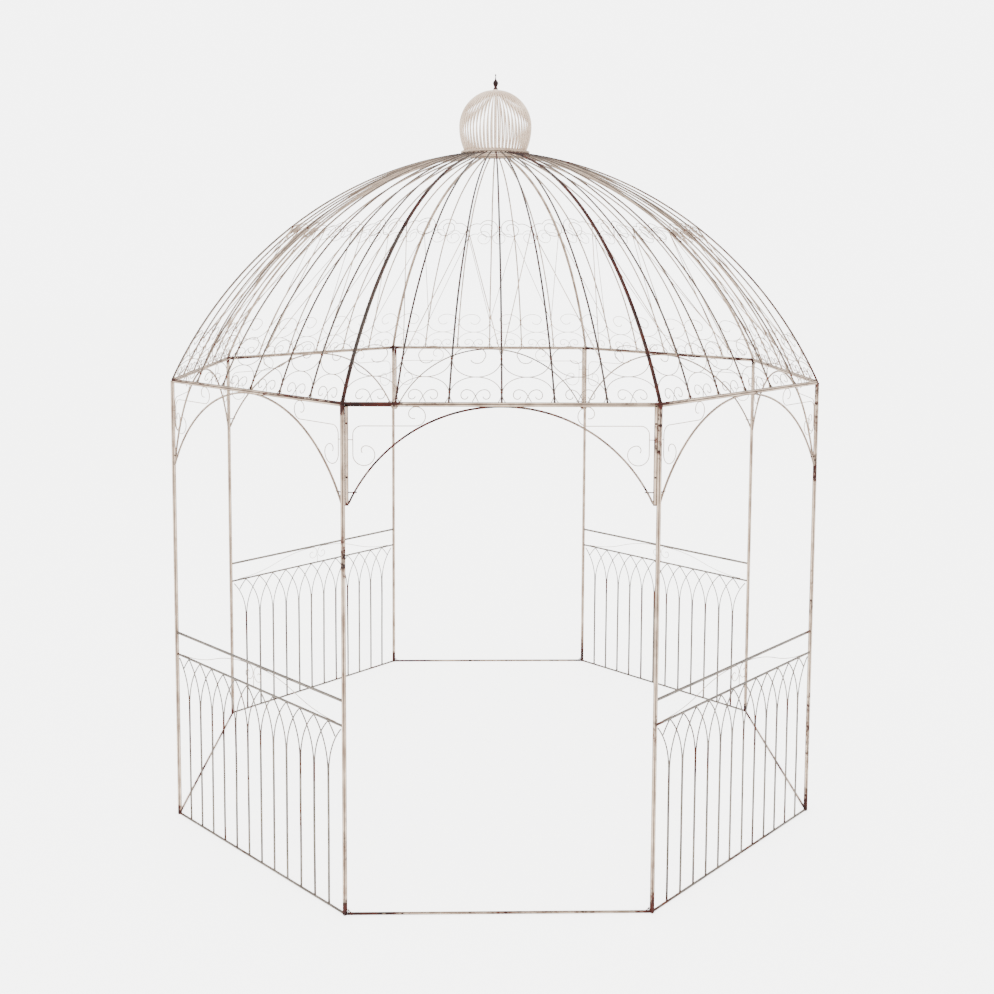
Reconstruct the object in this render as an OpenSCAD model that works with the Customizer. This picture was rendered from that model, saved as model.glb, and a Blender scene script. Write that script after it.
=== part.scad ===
// Wrought-iron garden pergola: eight posts on a regular octagon, four railings,
// an arch with scrolled spandrels over every side, and a ribbed dome under an
// openwork onion ball. Z is up and the origin is at the middle of the ground plan.

/* [Plan] */
// Radius of the circle through the post centres
corner_r = 1640; // [1360:10:1970]
// Height of the posts and of the wall top rails
wall_h = 2096; // [1746:2:2516]
// Air between pieces that are bolted together
joint_gap = 0.3; // [0.25:0.01:0.4]

/* [Posts and bars] */
// Width of a square post
post_w = 15; // [12.5:0.5:18]
// Width of the bevel on a post's edges
post_bevel = 1.2; // [1:0.1:1.5]
// Height of the wall top rails, and height and depth of the dome's foot rails
rail_t = 9; // [7.5:0.5:11]
// Depth of a flat panel from front to back
panel_t = 8; // [6.5:0.5:10]
// Width of the short stiles beside the open sides' posts
stile_w = 13; // [10:0.5:16]
// Height of the bar on the ground across an open side
ground_bar_t = 10; // [8:0.5:12]
// Height of the upright end tabs on a ground bar
tab_h = 24; // [20:1:29]
// Width of an end tab where it meets the bar
tab_w = 12; // [10:0.5:14.5]

/* [Railings] */
// Height to the top of the handrail
handrail_h = 900; // [750:5:1080]
// From the top of the handrail down to the top of the picket rail
picket_rail_drop = 105; // [86:1:127]
// Height of the picket rail and the railing's foot rail
picket_rail_t = 9; // [7.5:0.5:11]
// Height of the handrail bar
handrail_t = 11; // [9:0.5:13.5]
// Number of pickets, each a pair of rods
pickets = 12; // [10:1:14]
// Diameter of one rod of a picket
rod_d = 4.6; // [3.8:0.1:5.6]
// Height at which the rods of a picket part
picket_spring_h = 573; // [477:1:690]

/* [Arches] */
// Height at which the arches leave the posts
arch_spring_h = 1700; // [1420:5:1900]
// Width of the arch bar
arch_bar_w = 8; // [6.5:0.1:10]
// Diameter of the wire of the scrolls
scroll_d = 4.5; // [3.7:0.1:5.4]
// Radius of the upper curl of a spandrel scroll
upper_curl_r = 38; // [31:1:46]
// Radius of the lower curl of a spandrel scroll
lower_curl_r = 43; // [35:1:52]
// Radius of the bend between a spandrel scroll's two straights
scroll_bend_r = 35; // [29:1:42]
// Length of a spandrel scroll's straight along the rail
scroll_run = 213; // [178:1:255]
// Length of its straight beside the upright
scroll_drop = 80; // [67:1:96]
// From the upright to that straight
scroll_inset = 18; // [15:0.5:21.5]

/* [Dome] */
// Height of the collar that the dome's ribs end in
neck_h = 3206; // [2672:2:3848]
// Radius of the collar
neck_r = 170; // [142:1:204]
// How far a rib bows out, as a share of its chord
rib_bulge = 0.125; // [0.1:0.005:0.15]
// Diameter of a rib
rib_d = 7.5; // [6.2:0.1:8.5]
// Number of bays between the ribs of one dome panel
rib_bays = 6; // [5:1:7]

/* [Onion ball] */
// Height of the openwork ball
ball_h = 311; // [259:1:374]
// Largest radius of the ball
ball_r = 184; // [165:1:221]
// Height of the widest place above the ball's foot
ball_belly_h = 124; // [103:1:149]
// Number of wires round the ball
ball_wires = 24; // [20:1:29]
// Diameter of the ball's wires
ball_wire_d = 4.5; // [3.8:0.1:5.4]
// Diameter of the hoop at the ball's foot
ball_hoop_d = 6; // [5:0.1:7.2]
// Radius of the cap that the wires end in
ball_cap_r = 24; // [20:0.5:29]
// Height of that cap
ball_cap_h = 12; // [10:0.5:14.5]
// Height of the finial
finial_h = 77; // [64:1:93]
// Largest radius of the finial
finial_r = 14.4; // [12:0.1:17.3]

/* [Hidden] */
SIDES = ["front", "front_right", "right", "back_right", "back", "back_left", "left", "front_left"];
CORNERS = [
    "front_left", "front_right", "right_front", "right_back",
    "back_right", "back_left", "left_back", "left_front"
];
OPEN_SIDES = [0, 2, 4, 6];
RAILED_SIDES = [1, 3, 5, 7];
$fn = 48;

iron = "#D8CCC0";
grey_iron = "#95908A";
dark_iron = "#4A1512";

face_r = corner_r * cos(22.5);
face_half_w = corner_r * sin(22.5);
railed_half_w = face_half_w - post_w / 2 - joint_gap;
open_half_w = face_half_w - (post_w - post_bevel) / sqrt(2) - joint_gap;
weld = 0.01;
sink = 1;

rail_underside = wall_h - rail_t;
picket_rail_top = handrail_h - picket_rail_drop;
bay_w = 2 * railed_half_w / (pickets + 1);

foot_rail_z = wall_h + joint_gap;
rib_foot_z = foot_rail_z + rail_t / 2;
collar_w = 14;
collar_t = 12;
collar_top = neck_h + collar_t / 2;
ring_z = collar_top + joint_gap;
ring_t = 10;
ball_z = ring_z + ring_t + joint_gap;
ball_foot_r = ball_r * 0.85;
ball_top_z = ball_z + ball_h;
cap_z = ball_top_z - ball_cap_h * 2 / 3;
finial_z = cap_z + ball_cap_h + joint_gap;

// Points

function reversed(list) = [for (i = [len(list) - 1:-1:0]) list[i]];
function mirrored(points) = [for (p = points) [-p.x, p.y]];
function raised(points, place) = [for (p = points) p + place];
function arc(centre, r, from, to, steps) =
    [for (k = [0:steps]) centre + r * [cos(from + (to - from) * k / steps), sin(from + (to - from) * k / steps)]];
function across(heading) = [-sin(heading), cos(heading)];

// A path of moves from a point: [length, 0] goes straight on, and
// [radius, turn] follows an arc, to the left where the turn is positive.
function path(p, heading, moves, k = 0) =
    k == len(moves) ? [p] :
    let (
        size = moves[k][0],
        turn = moves[k][1],
        reach = size * sign(turn),
        steps = turn == 0 ? 1 : ceil(abs(turn) / 22.5),
        centre = p + reach * across(heading),
        last = turn == 0 ? p + size * [cos(heading), sin(heading)] : centre - reach * across(heading + turn)
    )
    concat(
        [for (j = [0:steps - 1]) turn == 0 ? p : centre - reach * across(heading + turn * j / steps)],
        path(last, heading + turn, moves, k + 1)
    );

function side_step(points, i) =
    let (d = points[min(i + 1, len(points) - 1)] - points[max(i - 1, 0)])
    [-d.y, d.x] / norm(d);

// Radius of a bow that rises to the height h over the half span a
function bow_r(a, h) = (a * a + h * h) / (2 * h);

// Flat shapes

module strip(points, w) {
    last = len(points) - 1;
    left = [for (i = [0:last]) points[i] + side_step(points, i) * w / 2];
    right = [for (i = [0:last]) points[i] - side_step(points, i) * w / 2];
    polygon(concat(left, reversed(right)));
}

module both_ways(points, w) {
    strip(points, w);
    strip(mirrored(points), w);
}

module bar(x0, x1, z0, z1) translate([x0, z0]) square([x1 - x0, z1 - z0]);

// Fuses the flat shapes and stands them on edge, centred on the panel's plane
module upright(t) rotate([90, 0, 0]) linear_extrude(t, center = true) offset(delta = weld) children();

module on_side(i) rotate([0, 0, 45 * i]) translate([0, -face_r, 0]) children();

// Posts, which stand square to the railing that they carry

module post(c) {
    railed = 2 * floor(c / 2 + 0.5) - 1;
    a = post_w / 2;
    b = a - post_bevel;
    color(iron)
        rotate([0, 0, 45 * c - 112.5]) translate([corner_r, 0, 0]) rotate([0, 0, 45 * railed - (45 * c - 112.5)])
            linear_extrude(wall_h)
                polygon([[a, b], [b, a], [-b, a], [-a, b], [-a, -b], [-b, -a], [b, -a], [a, -b]]);
}

// Bars on the ground across the open sides, with upright end tabs

module ground_bar(i) {
    w = open_half_w;
    tab = [[w, 0], [w, tab_h], [w - tab_w / 4, tab_h], [w - tab_w, ground_bar_t]];
    color(iron) on_side(i) rotate([90, 0, 0]) linear_extrude(panel_t, center = true)
        polygon(concat(tab, reversed(mirrored(tab))));
}

// Railings

// The two rods of a picket part at the spring line and bow to the peaks over its neighbours.
module picket(x) {
    rise = picket_rail_top - picket_rail_t - picket_spring_h + 2 * sink;
    reach = bay_w - rod_d / 2;
    r = bow_r(rise, reach);
    bar(x - rod_d, x + rod_d, 0, picket_spring_h);
    for (s = [-1, 1])
        intersection() {
            strip(
                [for (p = arc([r, 0], r, 180, 180 - asin(rise / r), 6)) [x + s * (p.x + rod_d / 2), picket_spring_h + p.y]],
                rod_d
            );
            bar(-railed_half_w, railed_half_w, 0, picket_rail_top);
        }
}

// In each end bay a short rod runs from the first peak down to the outermost rod.
module end_stubs() {
    rise = picket_rail_top - picket_rail_t - picket_spring_h + 2 * sink;
    r = bow_r(rise, bay_w);
    bow = [for (p = arc([r, 0], r, 180, 180 - asin(rise / r), 6)) [p.x - railed_half_w + rod_d / 2, picket_spring_h + p.y]];
    for (s = [0, 1]) mirror([s, 0]) intersection() {
        strip(bow, rod_d);
        bar(-railed_half_w + bay_w / 2 - rod_d / 2, 0, picket_spring_h, picket_rail_top);
    }
}

// A curl beside the centre stem, with a long tail from the handrail down to the picket rail.
module rail_ornament() {
    top = handrail_h - handrail_t + sink;
    bottom = picket_rail_top - sink;
    curl_r = (top - bottom) * 0.34;
    tail_w = railed_half_w * 0.93 - curl_r - scroll_d;
    start = [curl_r + scroll_d / 2 + sink, top];
    half_turn = 2 * atan((top - bottom) / tail_w);
    tail_r = tail_w / 2 / sin(half_turn);
    both_ways(path(start, 180, [[curl_r, 180], [curl_r * 0.66, 90], [curl_r * 0.46, 90], [curl_r * 0.3, 120]]), scroll_d);
    both_ways(path(start, 0, [[tail_r, -half_turn], [tail_r, half_turn]]), scroll_d);
    bar(-scroll_d / 2, scroll_d / 2, bottom, top);
}

module railing(i) {
    color(grey_iron) on_side(i) upright(panel_t) {
        bar(-railed_half_w, railed_half_w, 0, picket_rail_t);
        bar(-railed_half_w, railed_half_w, picket_rail_top - picket_rail_t, picket_rail_top);
        bar(-railed_half_w, railed_half_w, handrail_h - handrail_t, handrail_h);
        for (k = [1:pickets]) picket(-railed_half_w + k * bay_w);
        end_stubs();
        rail_ornament();
    }
}

// Arches

// An S-scroll in the corner between an upright at x = -a and the rail above.
module spandrel_scroll(a) {
    start = [scroll_inset, -2 * upper_curl_r - scroll_bend_r];
    corner = [-a, rail_underside];
    upper = path(start, 90, [
        [scroll_bend_r, -90],
        [scroll_run, 0],
        [upper_curl_r, 180],
        [upper_curl_r * 0.74, 90],
        [upper_curl_r * 0.5, 110]
    ]);
    lower = path(start, 270, [
        [scroll_drop, 0],
        [lower_curl_r, 180],
        [lower_curl_r * 0.84, 90],
        [lower_curl_r * 0.4, 130]
    ]);
    both_ways(raised(upper, corner), scroll_d);
    both_ways(raised(lower, corner), scroll_d);
    // Pins the scroll to the upright beside it
    both_ways(raised([[-sink, start.y], start], corner), scroll_d);
}

module arch(i) {
    railed = i % 2 == 1;
    w = railed ? railed_half_w : open_half_w;
    a = railed ? w : w - stile_w;
    rise = rail_underside + sink - arch_spring_h;
    r = bow_r(a, rise);
    spread = asin(a / r) + 0.5;
    color(iron) on_side(i) upright(panel_t) {
        bar(-w, w, rail_underside, wall_h);
        // Cut off at the panel's ends, clear of the posts
        intersection() {
            union() {
                strip(arc([0, rail_underside + sink - r], r, 90 + spread, 90 - spread, 24), arch_bar_w);
                spandrel_scroll(a);
            }
            bar(-w, w, 0, wall_h);
        }
        if (!railed)
            for (s = [-1, 1]) translate([s * (w - stile_w / 2), 0])
                bar(-stile_w / 2, stile_w / 2, arch_spring_h - arch_bar_w, wall_h);
    }
}

// Dome

// A round bar bowed in the plane of x and z, from [radius, height] to [radius, height].
module bowed_rib(from, to) {
    chord = norm(to - from);
    r = chord * (1 / (8 * rib_bulge) + rib_bulge / 2);
    along = (to - from) / chord;
    centre = (from + to) / 2 - [along.y, -along.x] * (r - rib_bulge * chord);
    start = atan2(from.y - centre.y, from.x - centre.x);
    end = atan2(to.y - centre.y, to.x - centre.x);
    translate([centre.x, 0, centre.y]) rotate([90, 0, 0]) rotate([0, 0, start])
        rotate_extrude(angle = end - start) translate([r, 0]) circle(d = rib_d);
}

module dome_panel(i) {
    inner = face_r - rail_t / 2;
    outer = face_r + rail_t / 2;
    foot = [[outer * tan(22.5), -outer], [inner * tan(22.5), -inner]];
    inset = [joint_gap / 2 / cos(22.5), 0];
    half = [for (p = foot) p - inset];
    edge_gap = atan(joint_gap / 2 / neck_r);
    color(iron) rotate([0, 0, 45 * i]) {
        translate([0, 0, foot_rail_z]) linear_extrude(rail_t) polygon(concat(half, reversed(mirrored(half))));
        for (k = [1:rib_bays - 1]) {
            turn = atan((2 * k / rib_bays - 1) * face_half_w / face_r);
            rotate([0, 0, turn - 90]) bowed_rib([face_r / cos(turn), rib_foot_z], [neck_r, neck_h]);
        }
        for (s = [-1, 1])
            rotate([0, 0, s * 22.5 - 90]) translate([0, -s * (rib_d + joint_gap) / 2, 0])
                bowed_rib([corner_r - 4, rib_foot_z], [neck_r, neck_h]);
        rotate([0, 0, -112.5 + edge_gap]) rotate_extrude(angle = 45 - 2 * edge_gap)
            translate([neck_r - collar_w / 2, neck_h - collar_t / 2]) square([collar_w, collar_t]);
    }
}

// Top

module neck_ring() {
    color(iron) rotate_extrude()
        translate([ball_foot_r - 9, ring_z]) square([neck_r + collar_w / 2 - ball_foot_r + 9, ring_t]);
}

module ball_wire() {
    below = ball_belly_h - ball_wire_d / 2;
    above = ball_h - ball_belly_h;
    lower_r = bow_r(below, ball_r - ball_foot_r);
    upper_r = bow_r(above, ball_r);
    translate([ball_r - lower_r, 0, ball_z + ball_belly_h]) rotate([90, 0, 0])
        rotate([0, 0, -asin(below / lower_r)]) rotate_extrude(angle = asin(below / lower_r) + 1, $fn = 24)
            translate([lower_r, 0]) circle(d = ball_wire_d, $fn = 4);
    translate([ball_r - upper_r, 0, ball_z + ball_belly_h]) rotate([90, 0, 0])
        rotate_extrude(angle = asin(above / upper_r), $fn = 24)
            translate([upper_r, 0]) circle(d = ball_wire_d, $fn = 4);
}

module onion_ball() {
    turn = 360 / ball_wires;
    color(iron) {
        for (k = [0:ball_wires - 1]) rotate([0, 0, k * turn]) {
            ball_wire();
            // A length of the hoop at the foot
            hull() for (s = [0, 1])
                rotate([0, 0, s * turn]) translate([ball_foot_r, 0, ball_z]) cylinder(d = ball_hoop_d, h = ball_hoop_d, $fn = 4);
        }
        translate([0, 0, cap_z]) cylinder(r1 = ball_cap_r, r2 = ball_cap_r / 2, h = ball_cap_h, $fn = 24);
    }
}

// Turned: each point is a share of the finial's largest radius and of its height.
module finial() {
    turning = [
        [0, 0], [0.86, 0], [0.88, 0.03], [0.62, 0.09], [0.52, 0.16], [0.72, 0.25], [0.98, 0.36], [1, 0.42],
        [0.78, 0.52], [0.42, 0.6], [0.22, 0.68], [0.15, 0.86], [0.26, 0.91], [0.3, 0.95], [0.2, 0.99], [0, 1]
    ];
    color(dark_iron) translate([0, 0, finial_z]) rotate_extrude()
        polygon([for (p = turning) [p.x * finial_r, p.y * finial_h]]);
}

for (c = [0:7]) post(c);
for (i = RAILED_SIDES) railing(i);
for (i = OPEN_SIDES) ground_bar(i);
for (i = [0:7]) arch(i);
for (i = [0:7]) dome_panel(i);
neck_ring();
onion_ball();
finial();
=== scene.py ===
import math

import bpy
import numpy as np
from mathutils import Matrix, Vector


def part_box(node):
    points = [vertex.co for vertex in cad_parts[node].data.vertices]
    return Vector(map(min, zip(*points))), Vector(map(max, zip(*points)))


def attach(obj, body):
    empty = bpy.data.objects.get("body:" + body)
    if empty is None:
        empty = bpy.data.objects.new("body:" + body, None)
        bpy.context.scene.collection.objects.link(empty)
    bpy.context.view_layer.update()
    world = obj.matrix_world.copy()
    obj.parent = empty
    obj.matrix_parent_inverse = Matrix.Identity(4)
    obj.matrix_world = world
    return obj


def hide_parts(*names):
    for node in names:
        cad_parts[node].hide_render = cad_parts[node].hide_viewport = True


# Octagonal garden pergola: round and square iron bars, welded, painted cream and rusted by the weather.
# Lengths are metres. A side's own places are (across, outwards, up), and side 0 faces -Y.

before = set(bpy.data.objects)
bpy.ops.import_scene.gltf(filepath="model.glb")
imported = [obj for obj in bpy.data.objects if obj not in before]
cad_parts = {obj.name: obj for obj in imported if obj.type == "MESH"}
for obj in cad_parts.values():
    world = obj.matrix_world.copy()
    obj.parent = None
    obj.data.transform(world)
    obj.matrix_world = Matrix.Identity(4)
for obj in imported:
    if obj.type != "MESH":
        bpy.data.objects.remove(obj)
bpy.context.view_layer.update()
print("frame:", len(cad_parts), "nodes")

sideNames = ["front", "front_right", "right", "back_right", "back", "back_left", "left", "front_left"]
cornerNames = [
    "front_left", "front_right", "right_front", "right_back",
    "back_right", "back_left", "left_back", "left_front",
]


def spanOf(node):
    low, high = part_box(node)
    return np.array(low), np.array(high)


# Driving places, all read off the frame
archLow, archHigh = spanOf("arch_front")
railingLow, railingHigh = spanOf("railing_front_right")
footLow, footHigh = spanOf("dome_panel_front")
ringLow, ringHigh = spanOf("neck_ring")
ballLow, ballHigh = spanOf("onion_ball")
finialLow, finialHigh = spanOf("finial")

panelDepth = archHigh[1] - archLow[1]
faceR = -(archHigh[1] + archLow[1]) / 2
faceHalf = faceR * math.tan(math.pi / 8)
cornerR = faceR / math.cos(math.pi / 8)
wallTop = archHigh[2]
openHalf = archHigh[0]
railedHalf = ((railingHigh[0] - railingLow[0]) * math.sqrt(2) - panelDepth) / 2
footBase = footLow[2]
neckTop = ringLow[2]
ringR = ringHigh[0]

seatGap = 0.0003  # air between pieces that are bolted together
sink = 0.001  # how far a welded end runs into the bar it meets
barStep = 0.03  # spacing of the points along a straight bar
edgeShadeAndBeadDirt = 0.9  # painted shade on the edges of bars, and dirt on weld beads


def unit(v):
    return v / np.maximum(np.linalg.norm(v, axis=-1, keepdims=True), 1e-12)


def circleProfile(radius, sides):
    # radius times the cosine and sine of an angle that goes once round
    a = 2 * np.pi * np.arange(sides) / sides
    return radius * np.stack([np.cos(a), np.sin(a)], 1)


def barProfile(width, height, bevel):
    # A rectangle whose four corners are cut off by the bevel. Each side has four points: its two ends and
    # two a fifth of the way in, so that an edge can carry painted shade and look darker than the middle
    # of a face.
    w, h = width / 2, height / 2
    run = np.array([-1, -0.6, 0.6, 1])
    x, y = run * (w - bevel), run * (h - bevel)
    return np.concatenate([
        np.stack([np.full(4, w), y], 1), np.stack([-x, np.full(4, h)], 1),
        np.stack([np.full(4, -w), -y], 1), np.stack([x, np.full(4, -h)], 1),
    ])


def sweep(path, up, profile, smooth=True, rust=0.0, thick=1.0, grimeAndShade=0.0):
    # Every point is path + side * profile x + over * profile y, where side = heading x up
    # and over = side x heading, all of unit length. thick scales the profile along the path.
    # A bar's edges get a fixed amount of painted shade on top of any dirt, so they are darker than its
    # faces.
    path = np.asarray(path, float)
    heading = unit(np.gradient(path, axis=0))
    side = unit(np.cross(heading, np.broadcast_to(up, path.shape)))
    over = np.cross(side, heading)
    scale = np.broadcast_to(thick, (len(path),))[:, None, None]
    x, y = profile[None, :, :1], profile[None, :, 1:]
    rings = path[:, None] + scale * (side[:, None] * x + over[:, None] * y)
    count, sides = len(path), len(profile)
    start = np.arange(count - 1)[:, None] * sides
    j = np.arange(sides)[None]
    k = (j + 1) % sides
    quads = np.stack([start + j, start + sides + j, start + sides + k, start + k], -1).reshape(-1, 4)
    caps = np.stack([j[0], (count * sides - 1) - j[0]])
    # Flat bars get painted shade along their four edges; round rods get none
    edges = np.zeros(sides) if smooth else np.tile([edgeShadeAndBeadDirt, 0.0, 0.0, edgeShadeAndBeadDirt], sides // 4)
    return {
        "verts": rings.reshape(-1, 3), "faces": [(quads, smooth), (caps, False)],
        "rust": np.repeat(np.broadcast_to(rust, (count,)), sides),
        "grimeAndShade": (np.broadcast_to(grimeAndShade, (count,))[:, None] + edges).ravel(),
    }


def turned(profile, around=32, rust=0.0, grimeAndShade=0.0):
    # A surface of revolution: (r cos u, r sin u, z) for each point (r, z) of the profile, read upwards
    profile = np.asarray(profile, float)
    u = 2 * np.pi * np.arange(around) / around
    r, z = profile[:, :1], profile[:, 1:]
    verts = np.stack([r * np.cos(u), r * np.sin(u), z * np.ones(around)], -1)
    start = np.arange(len(profile) - 1)[:, None] * around
    j = np.arange(around)[None]
    k = (j + 1) % around
    quads = np.stack([start + j, start + k, start + around + k, start + around + j], -1).reshape(-1, 4)
    caps = np.stack([around - 1 - j[0], (len(profile) - 1) * around + j[0]])
    count = verts.size // 3
    return {
        "verts": verts.reshape(-1, 3), "faces": [(quads, True), (caps, False)],
        "rust": np.full(count, rust), "grimeAndShade": np.full(count, grimeAndShade),
    }


def bead(centre, radius, rust=0.8):
    # A weld bead: a squashed ball turned from rings at four latitudes
    latitude = np.array([-1.2, -0.45, 0.45, 1.2])
    part = turned(radius * np.stack([np.cos(latitude), np.sin(latitude)], 1), 6, rust, edgeShadeAndBeadDirt)
    part["verts"] = part["verts"] + np.asarray(centre)
    part["faces"] = [(faces, True) for faces, _ in part["faces"]]
    return part


def arcPoints(centre, radius, start, end, steps):
    # centre + radius * (cos a, sin a), a in degrees from start to end
    a = np.radians(np.linspace(start, end, steps + 1))
    return np.stack([centre[0] + radius * np.cos(a), centre[1] + radius * np.sin(a)], 1)


def trail(point, heading, moves, spacing=0.006):
    # A bent wire. [length, 0] runs straight on; [radius, turn] follows an arc of turn degrees, to the
    # left if positive.
    x, y = point
    stretches = [np.array([[x, y]])]
    for size, turn in moves:
        a = math.radians(heading)
        if turn == 0:
            steps = max(1, round(size / barStep))
            ahead = np.array([[math.cos(a), math.sin(a)]])
            run = np.linspace(0, size, steps + 1)[1:, None] * ahead + [x, y]
        else:
            way = math.copysign(1, turn)
            cx, cy = x - way * size * math.sin(a), y + way * size * math.cos(a)
            steps = max(4, round(size * math.radians(abs(turn)) / spacing))
            run = arcPoints((cx, cy), size, heading - way * 90, heading - way * 90 + turn, steps)[1:]
        stretches.append(run)
        x, y = run[-1]
        heading += turn
    return np.concatenate(stretches)


def bowRadius(half, rise):
    # radius of a bow that rises by rise over the half span
    return (half * half + rise * rise) / (2 * rise)


def flat(points, outwards=0.0):
    # (across, up) of a side becomes (across, outwards, up)
    points = np.asarray(points, float)
    return np.stack([points[:, 0], np.full(len(points), outwards), points[:, 1]], 1)


def mirrored(points):
    return np.asarray(points) * ([-1, 1] if np.shape(points)[1] == 2 else [-1, 1, 1])


def onSide(points, side):
    # Turns (across, outwards, up) to the row frame: out to faceR and round by 45 degrees for each side
    a = math.radians(45 * side)
    x, y, z = points[:, 0], -(faceR + points[:, 1]), points[:, 2]
    return np.stack([x * math.cos(a) - y * math.sin(a), x * math.sin(a) + y * math.cos(a), z], 1)


def waver(points, amount, seed):
    # Hand-worked iron is never quite true: each axis gets amount times a sum of two slow sines
    p = np.asarray(points, float)
    rng = np.random.default_rng(seed)
    rates, share = np.array([[4.0, 11.0], [0.7, 0.3]])[:, :, None, None]
    waves = rng.normal(size=(2, 3, 3)) * rates
    shift = rng.uniform(0, 6.3, size=(2, 3))
    return p + amount * (share * np.sin(np.einsum("pc,wkc->wpk", p, waves) + shift[:, None])).sum(0)


def linear(hexColour):
    # sRGB hex to linear: c / 12.92 below 0.04045, else ((c + 0.055) / 1.055) ** 2.4
    c = np.array([int(hexColour[i:i + 2], 16) for i in (1, 3, 5)]) / 255
    rgb = np.where(c <= 0.04045, c / 12.92, ((c + 0.055) / 1.055) ** 2.4)
    return (*rgb.tolist(), 1.0)


def addNode(tree, kind, values=None, links=None, **settings):
    node = tree.nodes.new(kind)
    for name, value in settings.items():
        setattr(node, name, value)
    for name, value in (values or {}).items():
        node.inputs[name].default_value = value
    for name, source in (links or {}).items():
        tree.links.new(source, node.inputs[name])
    return node


def ironPaint(name, look):
    # Old oil paint on wrought iron: chalky cream that has yellowed and greyed, brown dirt and painted
    # shade along edges and on faces turned out to the sky, and dark red-brown rust at welds and where
    # water stands.
    mat = bpy.data.materials.new(name)
    mat.use_nodes = True
    tree = mat.node_tree
    tree.nodes.clear()
    out = addNode(tree, "ShaderNodeOutputMaterial")
    shader = addNode(tree, "ShaderNodeBsdfPrincipled", {"IOR": 1.5, "Specular IOR Level": 0.3})
    tree.links.new(shader.outputs["BSDF"], out.inputs["Surface"])
    place = addNode(tree, "ShaderNodeTexCoord").outputs["Object"]
    age = addNode(tree, "ShaderNodeAttribute", attribute_name="rust").outputs["Fac"]
    dirtAndShadeMask = addNode(tree, "ShaderNodeAttribute", attribute_name="grimeAndShade").outputs["Fac"]

    def noise(scale, detail, roughness=0.5):
        return addNode(
            tree, "ShaderNodeTexNoise",
            {"Scale": scale, "Detail": detail, "Roughness": roughness}, {"Vector": place},
        ).outputs["Fac"]

    def maths(operation, a, b):
        node = addNode(tree, "ShaderNodeMath", operation=operation)
        for socket, value in zip(node.inputs, (a, b)):
            if isinstance(value, float):
                socket.default_value = value
            else:
                tree.links.new(value, socket)
        return node.outputs[0]

    def ramp(factor, low, lowColour, high, highColour):
        node = addNode(tree, "ShaderNodeValToRGB", links={"Fac": factor})
        stops = node.color_ramp.elements
        stops[0].position, stops[0].color = low, linear(lowColour)
        stops[1].position, stops[1].color = high, linear(highColour)
        return node.outputs["Color"]

    def fade(value, low, high, start=0.0, end=1.0):
        return addNode(
            tree, "ShaderNodeMapRange",
            {"From Min": low, "From Max": high, "To Min": start, "To Max": end}, {"Value": value},
        ).outputs["Result"]

    def blend(factor, first, second):
        node = addNode(tree, "ShaderNodeMix", data_type="RGBA")
        for socket, source in ((0, factor), (6, first), (7, second)):
            tree.links.new(source, node.inputs[socket])
        return node.outputs[2]

    # Clouds about 90 mm across take the sound paint from cream to grey-beige
    clouds = noise(11.0, 4.0, 0.6)
    paint = ramp(clouds, 0.34, look["greyed"], 0.62, look["paint"])
    # Dirt and painted shade follow their attribute, broken up a little by streaks 35 mm across
    streaks = noise(28.0, 3.0)
    dirtAndShadeAmount = fade(maths("ADD", dirtAndShadeMask, maths("MULTIPLY", streaks, 0.5)), 0.22, 1.15)
    dirtAndShadeBrown = ramp(streaks, 0.35, look["dirtAndShadeDark"], 0.65, look["dirtAndShadeLight"])
    # Rust is the sum of its attribute, long stretches 200 mm and more, and flakes 5 to 30 mm across
    flakes = maths("MULTIPLY", noise(48.0, 5.0, 0.65), look["flaky"])
    stretches = maths("MULTIPLY", noise(4.5, 2.0), look["patchy"])
    total = maths("ADD", maths("ADD", flakes, stretches), maths("MULTIPLY", age, look["ageGain"]))
    worn = fade(total, look["wearFrom"], look["wearFrom"] + look["wearSoft"])
    red = ramp(noise(30.0, 3.0), 0.35, look["rustDark"], 0.66, look["rustLight"])
    tree.links.new(blend(worn, blend(dirtAndShadeAmount, paint, dirtAndShadeBrown), red), shader.inputs["Base Color"])

    # Paint is satin where sound, rust is dead matt
    tree.links.new(fade(worn, 0.0, 1.0, 0.55, 0.9), shader.inputs["Roughness"])
    # Brush marks and pitting about 1.5 mm across, with the flaked places lying lower than the paint
    height = maths("SUBTRACT", maths("MULTIPLY", noise(650.0, 2.0), 0.6), worn)
    bump = addNode(tree, "ShaderNodeBump", {"Strength": 0.35, "Distance": 0.0006}, {"Height": height})
    tree.links.new(bump.outputs["Normal"], shader.inputs["Normal"])
    return mat


# Frame: chalky cream clouded with grey-beige, edges browned by painted shade, long stretches of dark rust
creamLook = {
    "paint": "#CFB8A2", "greyed": "#937C69", "dirtAndShadeDark": "#1C110B", "dirtAndShadeLight": "#4C3527",
    "rustDark": "#180301", "rustLight": "#3E1208",
    "patchy": 0.7, "flaky": 0.5, "ageGain": 0.62, "wearFrom": 0.82, "wearSoft": 0.10,
}
# Railings: paint worn to a dull grey-brown, with rust a little more orange than elsewhere
railingLook = {
    "paint": "#7F756B", "greyed": "#554D45", "dirtAndShadeDark": "#1C1612", "dirtAndShadeLight": "#40352C",
    "rustDark": "#200A05", "rustLight": "#4E2715",
    "patchy": 0.7, "flaky": 0.5, "ageGain": 0.62, "wearFrom": 0.80, "wearSoft": 0.12,
}
# Dome ribs: darker cream, nearly black on the outer face with dirt, rust and painted shade
ribLook = {
    "paint": "#B59F8B", "greyed": "#7D6A5B", "dirtAndShadeDark": "#100A07", "dirtAndShadeLight": "#30221A",
    "rustDark": "#150201", "rustLight": "#3C150A",
    "patchy": 0.7, "flaky": 0.45, "ageGain": 0.66, "wearFrom": 0.82, "wearSoft": 0.14,
}
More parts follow.
